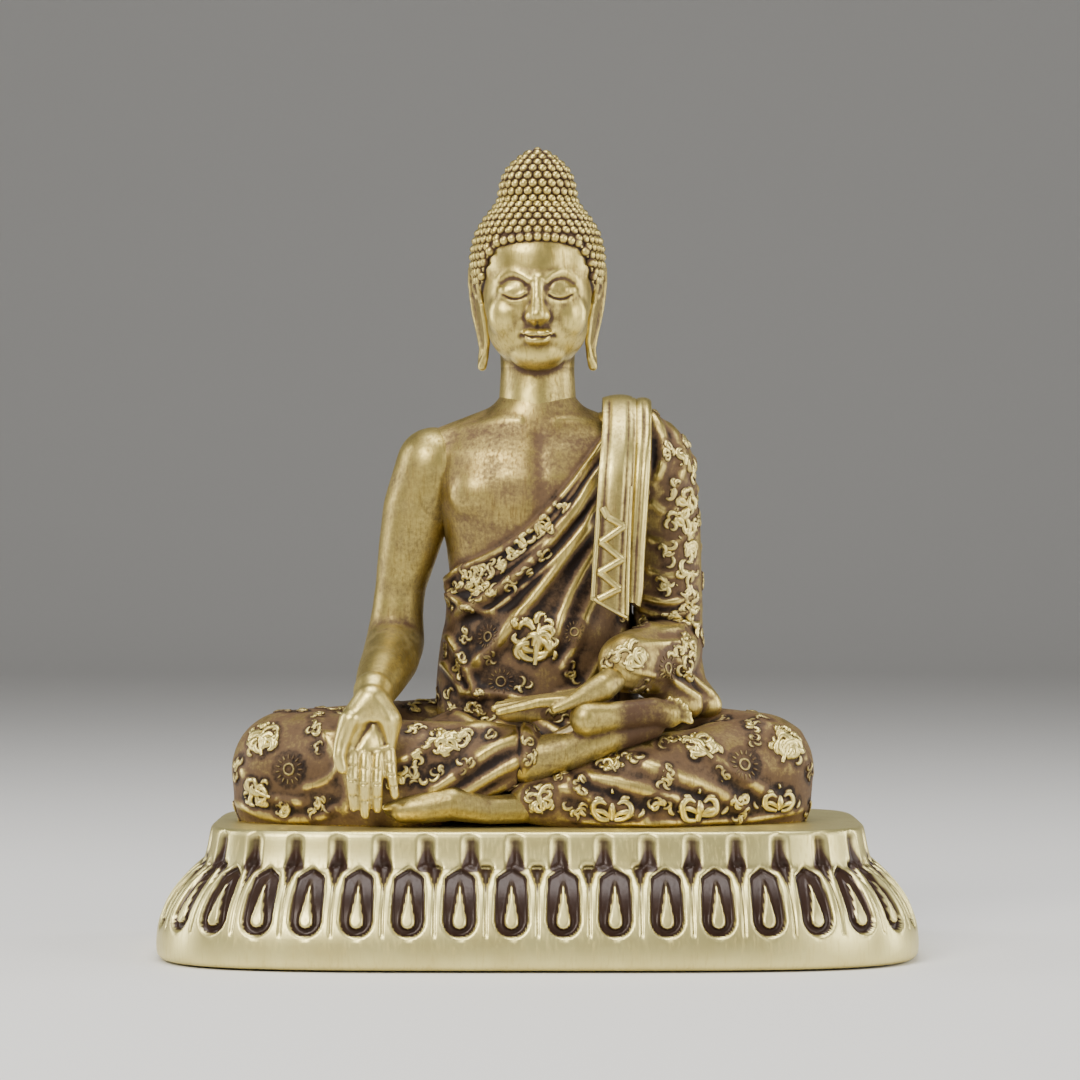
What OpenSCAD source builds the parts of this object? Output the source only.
// Seated figure in cast brass on an oval lotus plinth.
// The origin is at the centre of the underside, +Z is up and the figure faces -Y.

/* [Figure] */
// Height of the figure above the deck of the plinth
figure_h = 190; // [150:0.5:240]
// Wall of the hollow castings
wall = 3; // [2:0.1:4]
// Gap between a spigot or tenon and its socket, on the radius
fit = 0.15; // [0.05:0.05:0.4]

/* [Plinth] */
// Height of the plinth casting
plinth_h = 36.5; // [28:0.5:60]
// How far the skirt flares out beyond the deck
flare = 15.2; // [8:0.1:25]
// Deck showing beyond the figure's knees, at each side
deck_side = 5.7; // [3:0.1:30]
// Deck showing beyond the figure's front and back
deck_front = 7.4; // [6:0.2:30]
// Thickness of the plinth's wall and deck
plinth_wall = 3.5; // [2.5:0.1:6]
// Number of petals round the skirt
petals = 44; // [24:2:60]
// How deep the flutes are cut into the collar
flute_depth = 1.1; // [0.4:0.1:1.6]
// How squarely the oval turns its corners: 2 is an ellipse
squareness = 4; // [2:0.1:5]

/* [Underside] */
// Thickness of the closing plate
plate_t = 1.5; // [1:0.1:3]
// Thickness of the felt
felt_t = 1.2; // [0.8:0.1:3]
// How far the felt stands below the plinth's rim
felt_proud = 0.5; // [0.2:0.1:0.8]
// Radius of the plate screws' shanks
screw_r = 1.5; // [1:0.25:2.5]
// Length of the plate screws
screw_len = 9; // [6:1:14]
// Number of plate screws
screw_count = 6; // [4:2:10]
// Gap round the edge of the closing plate
plate_gap = 0.5; // [0.3:0.1:1]

/* [Tie bolts] */
// Radius of the bolts that hold the figure to the plinth
bolt_r = 2.5; // [1.5:0.25:4]
// How far each bolt screws into its bush
bolt_grip = 9; // [6:0.5:12]
// Radius of the threaded bushes inside the figure
bush_r = 5; // [4.5:0.25:7]
// Metal round each bush
bush_seat = 2; // [1.5:0.25:3]
// Thickness of the washers
washer_t = 1.2; // [0.8:0.1:2]

/* [Joints between castings] */
// Radius of the neck dowel
neck_dowel_r = 6; // [5:0.25:7]
// Radius of the waist sleeve
waist_sleeve_r = 13; // [10:0.5:15]
// Half the length of the neck dowel and of the waist sleeve
dowel_len = 8; // [5:0.5:9]
// Radius of the shoulder dowels
shoulder_dowel_r = 4.5; // [3:0.25:5.5]
// Radius of the wrist and ankle dowels
small_dowel_r = 1.6; // [1.2:0.1:2]
// Length that the wrist and ankle dowels reach into the larger casting
small_dowel_len = 5; // [3:0.5:7]
// Radius of the locking pins
pin_r = 1; // [0.6:0.1:1.4]
// Width of the shoulder cloth
sash_w = 11.5; // [9:0.5:15]
// Thickness of the shoulder cloth
sash_t = 2.6; // [1.8:0.1:3.5]

/* [Hidden] */

BRASS = [0.78, 0.66, 0.38];
ANTIQUE = [0.52, 0.40, 0.22];
PALE = [0.83, 0.75, 0.48];
STEEL = [0.62, 0.62, 0.62];
GREEN = [0.12, 0.20, 0.14];

tiny = 0.01;
body_fn = 20;
small_ball = 4;

// The figure is drawn at this height and scaled as one, so its stations keep their proportions.
drawn_h = 192.5;
fig = figure_h / drawn_h;
deck_z = felt_proud + plinth_h;
waist_y = 2 * fig;
torso_sides = 40;
// Half the width of the core inside the torso, and how far the shoulder dowels run in from the arms' centres.
core_half = 18;
shoulder_dowel_in = 12;

// Stations of the figure: x, y, height above the deck, radius.
r_hip = [-24, 14, 17, 17];
r_knee = [-70, -8, 14.5, 16.7];
r_shin = [-38, -27, 17, 12.5];
r_cuff = [-3, -34, 21.5, 7.2];
l_hip = [24, 14, 17, 17];
l_knee = [64, -8, 14.5, 16];
l_shin = [32, -29, 10.5, 12.5];
l_cuff = [-7, -35, 6, 6.5];
seat_half = [20, 22, 16, 17];
lap_half = [22, -8, 17, 16];
r_heel = [14, -37, 30, 5.2];
r_instep = [23, -35, 29.5, 5.4];
r_ball = [35, -31, 31, 4.6];
r_toes = [41, -29, 32, 2.8];
l_heel = [-24, -38.5, 8, 4.6];
l_instep = [-31, -38, 5.5, 5.2];
l_toes = [-42, -37, 4, 3.4];
toe_r = 1.5;
toe_gap = 1.9;
r_shoulder = [-32.5, 1, 102.5, 11];
r_upper = [-37, 2, 84, 8.8];
r_elbow = [-40.5, 3, 53, 9.4];
r_fore = [-42, -12, 47, 8.6];
r_wrist = [-44.5, -34, 38, 5.4];
l_shoulder = [34.5, 2, 102, 12.5];
l_upper = [37, 3, 82, 11];
l_elbow = [37.5, 3, 50, 11];
l_fore = [35, -12, 47, 10.5];
l_wrist = [26, -25, 43.5, 8.2];
r_palm = [-46.5, -41, 30, 5];
l_palm = [16, -35.5, 38.8, 3.6];
skull = [0, 1, 160, 20];
topknot = [0, 3, 181, 10.8];
jaw = [0, -6, 140, 13.5];
neck = [0, 1, 126, 10.8];
neck_y = neck[1] * fig;
waist_h = 40;
neck_h = 120;
waist_collar_foot = 26;
bush_seat_h = 30;
sleeve_bore_h = 30;

// Lengths of the locking pins, how far their holes run on past them, and where the cloth's pins stand.
cross_pin_len = 14.5;
waist_pin_len = 16.5;
cloth_pin_len = 7;
drive_reach = 20;
cloth_pin_gap = 2.5;
cloth_pin_spot = [-12, 104];
shoulder_pin_x = 25;

// Torso sections: height above the deck, half width, half depth, offset of the centre in y.
torso_sections = [[31, 30, 23, 3], [44, 27, 20, 3], [62, 22.5, 17.5, 2], [80, 25.5, 18.5, 1],
                  [95, 29, 19, 0.5], [105, 32, 17, 1], [111, 28.5, 14.5, 1.5], [115, 21, 12.5, 1.5],
                  [119, 13, 11.2, 1.5], [124, 10.8, 10.8, 1]];

// Footprint of the figure, which the deck is drawn round.
knee_reach = (-r_knee[0] + r_knee[3]) * fig;
front_reach = (-r_palm[1] + r_palm[3]) * fig;
deck_a = knee_reach + deck_side;
deck_b = front_reach + deck_front;
foot_a = deck_a + flare;
foot_b = deck_b + flare;

// Plinth outline: [share of the height, share of the flare, flute depth factor] from the deck down.
collar_foot = 0.72;
skirt = [for (i = [0:5]) let(t = i / 5) [collar_foot * (1 - t) + 0.1 * t, sin(90 * pow(t,
        0.8)) * 0.86 + 0.14]];
rim_round = 1;
samples = petals * 4;

// Where the tie bolts stand, in the figure's own drawing.
bush_spots = [[-52, -2], [49, -2], [0, 22]];

// ---------- oval ----------
function sgn_pow(v, e) = sign(v) * pow(abs(v), e);
function oval_point(a, b, t) = [a * sgn_pow(sin(t), 2 / squareness), -b * sgn_pow(cos(t), 2 / squareness)];

// Walk the foot's outline in small steps, so that the petals are equally spaced along it.
walk_steps = 360;
function walked(i = 0, total = 0, out = [[0, 0]]) =
    i >= walk_steps ? out :
    let(p = oval_point(foot_a, foot_b, 360 * i / walk_steps),
        q = oval_point(foot_a, foot_b, 360 * (i + 1) / walk_steps),
        now = total + norm(q - p))
    walked(i + 1, now, concat(out, [[now, 360 * (i + 1) / walk_steps]]));
walk = walked();
walk_len = walk[walk_steps][0];
function walk_angle(share) = lookup(share * walk_len, walk);

// One ring of the plinth: the deck's oval grown by out, scalloped by depth.
function ring(out, depth, z) =
    [for (i = [0:samples - 1])
        let(t = walk_angle(i / samples),
            cut = depth * (0.5 - 0.5 * cos(360 * petals * i / samples)),
            p = oval_point(deck_a + out - cut, deck_b + out - cut, t))
        [p[0], p[1], z]];

module oval_prism(a, b, h, steps = 120) {
    linear_extrude(h) polygon([for (i = [0:steps - 1]) oval_point(a, b, 360 * i / steps)]);
}

// A closed solid through rings of equal count, with flat ends.
module ring_loft(rings) {
    n = len(rings[0]);
    last = len(rings) - 1;
    polyhedron(
        points = [for (r = rings) each r],
        faces = concat(
            [[for (i = [n - 1:-1:0]) i]],
            [for (k = [0:last - 1], i = [0:n - 1])
                let(j = (i + 1) % n) [k * n + i, k * n + j, (k + 1) * n + j, (k + 1) * n + i]],
            [[for (i = [0:n - 1]) last * n + i]]),
        convexity = 8);
}

// ---------- plinth and underside ----------
ceiling_z = deck_z - plinth_wall;
plate_z = felt_t;
plate_top = plate_z + plate_t;
pillar_r = screw_r + 2.5;
screw_head_r = screw_r * 1.9;
collar_lean = 2.2;
inner_a = foot_a - plinth_wall;
inner_b = foot_b - plinth_wall;

pillar_top = felt_proud + plinth_h * 0.37;
pillar_inset = pillar_r + 0.1 * flare;

// Screw places on an oval that stays clear of the wall.
function screw_spot(i) = oval_point(inner_a - pillar_inset, inner_b - pillar_inset,
        360 * (i + 0.5) / screw_count);

module at_screws() {
    for (i = [0:screw_count - 1]) translate([screw_spot(i)[0], screw_spot(i)[1], 0]) children();
}

module at_bushes() {
    for (p = bush_spots) translate([p[0] * fig, p[1] * fig, 0]) children();
}

module plinth_outside() {
    collar = [ring(-rim_round, 0, deck_z), ring(0, 0.2 * flute_depth, deck_z - rim_round),
              ring(0.4 * collar_lean, flute_depth, deck_z - 3 * rim_round),
              ring(collar_lean, flute_depth, felt_proud + plinth_h * collar_foot)];
    petal_rings = [for (s = skirt)
        ring(flare * s[1], flute_depth * 0.9 * (1 - s[1] * 0.8), felt_proud + plinth_h * s[0])];
    foot = [ring(flare, 0, felt_proud + rim_round), ring(flare - rim_round, 0, felt_proud)];
    ring_loft(concat(collar, petal_rings, foot));
}

module plinth_inside() {
    ring_loft([ring(-plinth_wall, 0, ceiling_z),
               ring(collar_lean - plinth_wall, 0, felt_proud + plinth_h * collar_foot - 2),
               ring(flare - plinth_wall, 0, plate_top + 3),
               ring(flare - plinth_wall, 0, -1)]);
}

module plinth() {
    color(PALE) difference() {
        union() {
            difference() {
                plinth_outside();
                plinth_inside();
            }
            at_screws() translate([0, 0, plate_top])
                cylinder(r = pillar_r, h = pillar_top - plate_top, $fn = 32);
        }
        at_screws() translate([0, 0, plate_top - 1]) cylinder(r = screw_r, h = screw_len, $fn = 32);
        at_bushes() translate([0, 0, ceiling_z - 1])
            cylinder(r = bolt_r + fit, h = plinth_wall + 2, $fn = 32);
    }
}

module bottom_plate() {
    color(BRASS) difference() {
        translate([0, 0, plate_z]) oval_prism(inner_a - plate_gap, inner_b - plate_gap, plate_t);
        at_screws() {
            translate([0, 0, plate_z - 1]) cylinder(r = screw_r + fit, h = plate_t + 2, $fn = 32);
            translate([0, 0, plate_z - tiny])
                cylinder(r1 = screw_head_r + tiny, r2 = screw_r, h = screw_head_r - screw_r + tiny,
                        $fn = 32);
        }
    }
}

module bottom_plate_screws() {
    head_h = screw_head_r - screw_r;
    color(STEEL) at_screws() translate([0, 0, plate_z]) difference() {
        union() {
            cylinder(r1 = screw_head_r - fit, r2 = screw_r - fit, h = head_h, $fn = 32);
            cylinder(r = screw_r - tiny, h = screw_len - 1, $fn = 32);
        }
        translate([-screw_head_r, -0.3, -tiny]) cube([2 * screw_head_r, 0.6, 0.6]);
    }
}

module felt_pad() {
    edge = 2 * pillar_r + 3;
    color(GREEN) oval_prism(inner_a - edge, inner_b - edge, felt_t);
}

module tie_bolts() {
    head_h = bolt_r * 1.4;
    color(STEEL) at_bushes() translate([0, 0, ceiling_z - washer_t]) {
        translate([0, 0, -head_h]) cylinder(r = bolt_r * 1.85, h = head_h, $fn = 6);
        cylinder(r = bolt_r, h = washer_t + plinth_wall + bolt_grip, $fn = 32);
    }
}

module tie_washers() {
    color(STEEL) at_bushes() translate([0, 0, ceiling_z - washer_t]) difference() {
        cylinder(r = bolt_r * 2.2, h = washer_t, $fn = 32);
        translate([0, 0, -1]) cylinder(r = bolt_r + fit, h = washer_t + 2, $fn = 32);
    }
}

module threaded_bushes() {
    color(BRASS) at_bushes() translate([0, 0, deck_z]) difference() {
        cylinder(r = bush_r, h = bolt_grip + 2, $fn = 32);
        translate([0, 0, -1]) cylinder(r = bolt_r, h = bolt_grip + 1, $fn = 32);
    }
}

// ---------- shared shapes of the figure ----------
// A ball at a station, with its radius changed by grow.
module ball(s, grow = 0, shape = [1, 1, 1]) {
    translate([s[0] * fig, s[1] * fig, s[2] * fig])
        scale(shape) sphere(r = max(s[3] * fig + grow, 0.5), $fn = s[3] < small_ball ? 12 : body_fn);
}

// A limb through a list of stations.
module limb(stations, grow = 0) {
    for (i = [0:len(stations) - 2]) hull() {
        ball(stations[i], grow);
        ball(stations[i + 1], grow);
    }
}

function mirrored(s) = [-s[0], s[1], s[2], s[3]];

module above_deck(reach = 400) {
    translate([-reach / 2, -reach / 2, 0]) cube([reach, reach, reach]);
}

// A cylinder that starts at a station and points along a direction.
module rod(start, direction, r, h) {
    yaw = atan2(direction[1], direction[0]);
    lean = acos(direction[2] / norm(direction));
    translate(start) rotate([0, lean, yaw]) cylinder(r = r, h = h, $fn = 24);
}

function place(s) = [s[0] * fig, s[1] * fig, s[2] * fig];

// ---------- legs and feet ----------
// A station's lower ball, which brings the casting down onto the deck, and the core's opening below it.
function settled(s) = [s[0], s[1], min(s[2] * 0.5, s[3] * 0.6), s[3] * 0.97];
function opened(s) = [s[0], s[1], -1, s[3] * 0.85];

module leg_span(stations, grow = 0) {
    for (i = [0:len(stations) - 2]) hull() for (s = [stations[i], stations[i + 1]]) {
        ball(s, grow);
        ball(grow < -1 ? opened(s) : settled(s), grow);
    }
}

module leg_mass(grow = 0) {
    leg_span([r_hip, r_knee, r_shin, r_cuff], grow);
    leg_span([l_hip, l_knee, l_shin, l_cuff], grow);
    leg_span([mirrored(seat_half), seat_half], grow);
    leg_span([mirrored(lap_half), lap_half], grow);
    hull() for (s = [seat_half, lap_half, mirrored(seat_half), mirrored(lap_half)]) {
        ball(s, grow);
        ball(grow < -1 ? opened(s) : settled(s), grow);
    }
}

module leg_casting() {
    color(ANTIQUE) translate([0, 0, deck_z]) difference() {
        union() {
            difference() {
                intersection() {
                    leg_mass();
                    above_deck();
                }
                leg_mass(-wall);
            }
            intersection() {
                leg_mass(-tiny);
                at_bushes() cylinder(r = bush_r + bush_seat, h = bush_seat_h * fig, $fn = 24);
            }
            difference() {
                waist_collar();
                leg_mass(-wall);
            }
        }
        translate([0, waist_y, waist_h * fig - dowel_len])
            cylinder(r = waist_sleeve_r + fit, h = dowel_len + 2, $fn = 32);
        translate([0, waist_y, (waist_h - sleeve_bore_h / 2) * fig])
            cylinder(r = waist_sleeve_r - wall, h = sleeve_bore_h * fig, $fn = 32);
        at_bushes() translate([0, 0, -1]) cylinder(r = bush_r + fit, h = bolt_grip + 3 + fit, $fn = 24);
        feet_mass(fit);
        dowel_rods(ankle_dowel_list, fit);
        right_hand_shape(fit);
        waist_pin_rods(fit, drive_reach);
    }
}

// The raised ring of cloth round the waist, which the torso stands on.
module waist_collar() {
    s = torso_sections[0];
    translate([0, s[3] * fig, waist_collar_foot * fig]) scale([s[1] / s[2], 1, 1])
        cylinder(r = s[2] * fig, h = (waist_h - waist_collar_foot) * fig, $fn = torso_sides);
}

module right_foot_shape(grow = 0) {
    limb([r_heel, r_instep, r_ball, r_toes], grow);
    for (i = [0:4]) hull() {
        ball([34 + i * 0.9, -33.5 + i * 0.4, 34 - i * toe_gap, toe_r], grow);
        ball([42.5 + i * 0.5, -30 + i * 0.2, 36 - i * toe_gap, toe_r - i * 0.12], grow);
    }
}

module left_foot_shape(grow = 0) {
    limb([l_heel, l_instep, l_toes], grow);
    for (i = [0:4]) hull() {
        ball([-40, -35 - i * 0.9, 6.5 - i * 1.1, toe_r - 0.1], grow);
        ball([-45.5 + i * 0.7, -35.5 - i * 0.9, 5.5 - i * 1.1, toe_r - 0.2 - i * 0.1], grow);
    }
}

module feet_mass(grow = 0) {
    right_foot_shape(grow);
    left_foot_shape(grow);
}

// Each dowel: where it starts, its direction and its length.
function dowel_from(s, d) = [place(s), d, s[3] * fig + small_dowel_len];
function dowel_between(a, b) = [place(a), b - a, norm(place(b) - place(a)) + small_dowel_len];
ankle_dowel_list = [dowel_from(r_heel, [-1, 0.35, -0.55]), dowel_from(l_heel, [1, 0.6, 0.3])];
wrist_dowel_list = [dowel_between(r_palm, r_wrist), dowel_between(l_palm, l_wrist)];

module dowel_rods(list, grow = 0) {
    for (d = list) rod(d[0], d[1], small_dowel_r + grow, d[2] + grow);
}

module ankle_dowels() {
    color(BRASS) translate([0, 0, deck_z]) dowel_rods(ankle_dowel_list);
}

module wrist_dowels() {
    color(BRASS) translate([0, 0, deck_z]) dowel_rods(wrist_dowel_list);
}

module right_foot() {
    color(BRASS) translate([0, 0, deck_z]) difference() {
        right_foot_shape();
        dowel_rods([ankle_dowel_list[0]], fit);
    }
}

module left_foot() {
    color(BRASS) translate([0, 0, deck_z]) difference() {
        intersection() {
            left_foot_shape();
            above_deck();
        }
        dowel_rods([ankle_dowel_list[1]], fit);
    }
}

// ---------- torso and head ----------
function section_ring(s, grow) =
    [for (i = [0:torso_sides - 1]) let(t = 360 * i / torso_sides)
        [(s[1] * fig + grow) * cos(t), s[3] * fig + (s[2] * fig + grow) * sin(t), s[0] * fig]];

module torso_mass(grow = 0) {
    ring_loft([for (i = [len(torso_sections) - 1:-1:0]) section_ring(torso_sections[i], grow)]);
}

module between(low, high, reach = 300) {
    translate([-reach / 2, -reach / 2, low]) cube([reach, reach, high - low]);
}

module torso_casting() {
    color(ANTIQUE) translate([0, 0, deck_z]) difference() {
        intersection() {
            torso_mass();
            between(waist_h * fig, neck_h * fig);
        }
        intersection() {
            torso_mass(-wall);
            between(waist_h * fig + dowel_len + wall, neck_h * fig - dowel_len - wall);
            translate([-core_half * fig, -100, 0]) cube([2 * core_half * fig, 200, 400]);
        }
        translate([0, waist_y, waist_h * fig - 1])
            cylinder(r = waist_sleeve_r + fit, h = dowel_len + 1, $fn = 32);
        translate([0, waist_y, waist_h * fig])
            cylinder(r = waist_sleeve_r - wall, h = dowel_len + 2 * wall, $fn = 32);
        translate([0, neck_y, neck_h * fig - dowel_len])
            cylinder(r = neck_dowel_r + fit, h = dowel_len + 2, $fn = 32);
        translate([0, neck_y, neck_h * fig - dowel_len - 2 * wall])
            cylinder(r = neck_dowel_r / 2, h = 20, $fn = 24);
        shoulder_dowel_rods(fit);
        neck_pin_rod(fit, drive_reach);
        shoulder_pin_rods(fit, drive_reach);
        waist_pin_rods(fit, drive_reach);
        cloth_pin_rods(fit);
    }
}

module waist_sleeve() {
    color(BRASS) translate([0, 0, deck_z]) difference() {
        translate([0, waist_y, waist_h * fig - dowel_len])
            cylinder(r = waist_sleeve_r, h = 2 * dowel_len, $fn = 32);
        translate([0, waist_y, waist_h * fig - dowel_len - 1])
            cylinder(r = waist_sleeve_r - wall, h = 2 * dowel_len + 2, $fn = 32);
        waist_pin_rods(fit);
    }
}

module neck_dowel() {
    color(BRASS) translate([0, 0, deck_z]) difference() {
        translate([0, neck_y, neck_h * fig - dowel_len])
            cylinder(r = neck_dowel_r, h = 2 * dowel_len, $fn = 32);
        translate([0, neck_y, neck_h * fig - dowel_len - 1])
            cylinder(r = neck_dowel_r / 2, h = 2 * dowel_len + 2, $fn = 32);
        neck_pin_rod(fit);
    }
}

module head_mass(grow = 0) {
    hull() {
        ball(skull, grow, [1, 1.12, 1.04]);
        ball(jaw, grow, [1, 1, 0.9]);
    }
    hull() {
        ball(topknot, grow, [1, 1, 1.05]);
        ball([0, 3, 172, 12.5], grow);
    }
    hull() {
        ball([0, 3, 172, 12.5], grow);
        ball([0, 2, 166, 16], grow);
    }
    hull() {
        ball(neck, grow);
        ball([0, 3, 140, 12], grow);
    }
    hull() {
        ball(neck, grow);
        ball([0, 1, 118, 11], grow);
    }
}

module ears() {
    for (side = [-1, 1]) {
        hull() {
            ball([side * 20, 1, 154, 2]);
            ball([side * 17.8, 2, 142, 1.5]);
        }
        hull() {
            ball([side * 17.8, 2, 142, 1.5]);
            ball([side * 15.5, 1, 131, 1.8]);
        }
    }
}

module head_casting() {
    color(BRASS) translate([0, 0, deck_z]) difference() {
        intersection() {
            union() {
                head_mass();
                ears();
            }
            between(neck_h * fig, 260 * fig);
        }
        intersection() {
            head_mass(-wall);
            between(neck_h * fig + dowel_len + wall, 260 * fig);
        }
        translate([0, neck_y, neck_h * fig - 1])
            cylinder(r = neck_dowel_r + fit, h = dowel_len + 1, $fn = 32);
        translate([0, neck_y, neck_h * fig])
            cylinder(r = neck_dowel_r / 2, h = dowel_len + 2 * wall, $fn = 24);
    }
}

// ---------- arms and hands ----------
// A shoulder dowel runs from the arm's centre towards the middle of the chest.
module shoulder_dowel_rod(s, grow = 0) {
    rod(place(s), [s[0] < 0 ? 1 : -1, 0, 0], shoulder_dowel_r + grow, shoulder_dowel_in * fig + grow);
}

module shoulder_dowel_rods(grow = 0) {
    shoulder_dowel_rod(r_shoulder, grow);
    shoulder_dowel_rod(l_shoulder, grow);
}

module shoulder_dowels() {
    color(BRASS) translate([0, 0, deck_z]) difference() {
        shoulder_dowel_rods();
        shoulder_pin_rods(fit);
    }
}

module right_arm() {
    color(BRASS) translate([0, 0, deck_z]) difference() {
        union() {
            limb([r_shoulder, r_upper, r_elbow, r_fore, r_wrist]);
            hull() {
                ball(r_shoulder);
                ball([-29, 1, 99, 10]);
            }
            hull() {
                ball(r_upper);
                ball([-39.5, 2.5, 66, 8.6]);
            }
            hull() {
                ball(r_elbow);
                ball([-42, -5, 48, 8.4]);
            }
            hull() {
                ball(r_fore);
                ball([-43.5, -24, 42, 6.8]);
            }
        }
        torso_mass(fit);
        right_hand_shape(fit);
        dowel_rods([wrist_dowel_list[0]], fit);
        shoulder_dowel_rods(fit);
        shoulder_pin_rods(fit);
    }
}

// Each finger is a root, a middle joint and a tip.
module fingers(roots, joints, tips, r, grow = 0) {
    for (i = [0:len(roots) - 1]) {
        hull() {
            ball(concat(roots[i], r), grow);
            ball(concat(joints[i], r * 0.93), grow);
        }
        hull() {
            ball(concat(joints[i], r * 0.93), grow);
            ball(concat(tips[i], r * 0.75), grow);
        }
    }
}

r_roots = [for (i = [0:3]) [-51.2 + i * 3.6, -43.3, 22]];
r_joints = [for (i = [0:3]) [-50 + i * 3.2, -43.6, 14]];
r_tips = [[-49.3, -43.2, 6.5], [-46.6, -43.2, 4], [-43.8, -43.2, 5.5], [-40.6, -43.2, 9]];

module right_hand_shape(grow = 0) {
    hull() {
        ball(r_palm, grow);
        ball([-50, -41.5, 25, 4.4], grow);
        ball([-42, -41.5, 25, 4.4], grow);
    }
    hull() {
        ball([-50.5, -41, 30, 3.8], grow);
        ball([-53, -43, 22, 2.2], grow);
    }
    hull() {
        ball([-53, -43, 22, 2.2], grow);
        ball([-52.6, -43.5, 18, 1.8], grow);
    }
    fingers(r_roots, r_joints, r_tips, 2, grow);
}

module right_hand() {
    color(PALE) translate([0, 0, deck_z]) difference() {
        right_hand_shape();
        dowel_rods([wrist_dowel_list[0]], fit);
    }
}

module left_sleeve() {
    color(ANTIQUE) translate([0, 0, deck_z]) difference() {
        union() {
            limb([l_shoulder, l_upper, l_elbow, l_fore, l_wrist]);
            hull() {
                ball(l_shoulder);
                ball([30, 2, 105, 11.5]);
            }
            hull() {
                ball(l_elbow);
                ball([37.5, -5, 47, 10.6]);
            }
            hull() {
                ball(l_upper);
                ball([38, 3, 66, 10.6]);
            }
            hull() {
                ball(l_wrist);
                ball([20, -29, 42, 6.4]);
            }
        }
        torso_mass(fit);
        left_hand_shape(fit);
        dowel_rods([wrist_dowel_list[1]], fit);
        shoulder_dowel_rods(fit);
        shoulder_pin_rods(fit);
        feet_mass(fit);
        leg_mass(fit);
    }
}

l_roots = [for (i = [0:3]) [8, -38.5 + i * 2.9, 35.5]];
l_joints = [for (i = [0:3]) [0, -38.2 + i * 2.7, 34]];
l_tips = [for (i = [0:3]) [-8 + i * 0.6, -37.6 + i * 2.5, 33.4]];

module left_hand_shape(grow = 0) {
    hull() {
        ball(l_palm, grow);
        ball([8.5, -37, 36, 2.6], grow);
        ball([8.5, -31, 36, 2.6], grow);
    }
    hull() {
        ball([15, -39, 37.8, 2.4], grow);
        ball([5, -41, 36, 1.7], grow);
    }
    fingers(l_roots, l_joints, l_tips, 1.7, grow);
}

module left_hand() {
    color(BRASS) translate([0, 0, deck_z]) difference() {
        left_hand_shape();
        feet_mass(fit);
        dowel_rods([wrist_dowel_list[1]], fit);
    }
}

// ---------- shoulder cloth ----------
// Centre line of the cloth: x, y, height, from behind the shoulder to the free end in front.
cloth_line = [[22, 18, 106], [23, 10, 116], [23.5, 0, 120], [23.5, -10, 117], [23.5, -18, 107], [22.5,
        -22.5, 90],
              [21.2, -24.5, 74], [20.4, -25, 60]];

module cloth_step(p, grow = 0) {
    translate(place(p)) rotate([0, 90, 0]) translate([0, 0, -sash_w / 2])
        cylinder(r = sash_t / 2 + grow, h = sash_w, $fn = 16);
}

module shoulder_cloth() {
    color(BRASS) translate([0, 0, deck_z]) difference() {
        for (i = [0:len(cloth_line) - 2]) hull() {
            cloth_step(cloth_line[i]);
            cloth_step(cloth_line[i + 1]);
        }
        torso_mass(fit);
        limb([l_shoulder, l_upper, l_elbow], fit);
        hull() {
            ball(l_shoulder, fit);
            ball([30, 2, 105, 11.5], fit);
        }
        cloth_pin_rods(fit);
    }
}

// ---------- locking pins ----------
// Each pin is driven in from outside, so its hole runs on past its head by reach.
module neck_pin_rod(grow = 0, reach = 0) {
    translate([0, neck_y - neck_dowel_r * 0.8, neck_h * fig - dowel_len / 2]) rotate([-90, 0, 0])
        cylinder(r = pin_r + grow, h = cross_pin_len * fig + reach, $fn = 24);
}

module neck_pin() {
    color(BRASS) translate([0, 0, deck_z]) neck_pin_rod();
}

module shoulder_pin_rods(grow = 0, reach = 0) {
    for (s = [r_shoulder, l_shoulder])
        translate([sign(s[0]) * shoulder_pin_x * fig, s[1] * fig - shoulder_dowel_r * 0.8,
                s[2] * fig]) rotate([-90, 0, 0])
            cylinder(r = pin_r + grow, h = cross_pin_len * fig + reach, $fn = 24);
}

module shoulder_pins() {
    color(BRASS) translate([0, 0, deck_z]) shoulder_pin_rods();
}

module waist_pin_rods(grow = 0, reach = 0) {
    for (side = [-1, 1])
        translate([side * (waist_sleeve_r - wall - 0.5), waist_y, waist_h * fig - dowel_len / 2])
            rotate([0, side * 90, 0]) cylinder(r = pin_r + grow, h = waist_pin_len * fig + reach, $fn = 24);
}

module waist_pins() {
    color(BRASS) translate([0, 0, deck_z]) waist_pin_rods();
}

module cloth_pin_rods(grow = 0) {
    for (side = [-1, 1])
        translate([(cloth_line[4][0] + side * cloth_pin_gap) * fig, cloth_pin_spot[0] * fig,
                cloth_pin_spot[1] * fig])
            rotate([90, 0, 0]) cylinder(r = pin_r + grow, h = cloth_pin_len * fig, $fn = 24);
}

module shoulder_cloth_pins() {
    color(BRASS) translate([0, 0, deck_z]) cloth_pin_rods();
}

plinth();
bottom_plate();
bottom_plate_screws();
felt_pad();
tie_bolts();
tie_washers();
threaded_bushes();
leg_casting();
waist_sleeve();
waist_pins();
torso_casting();
neck_dowel();
neck_pin();
head_casting();
shoulder_dowels();
shoulder_pins();
right_arm();
right_hand();
left_sleeve();
left_hand();
wrist_dowels();
right_foot();
left_foot();
ankle_dowels();
shoulder_cloth();
shoulder_cloth_pins();
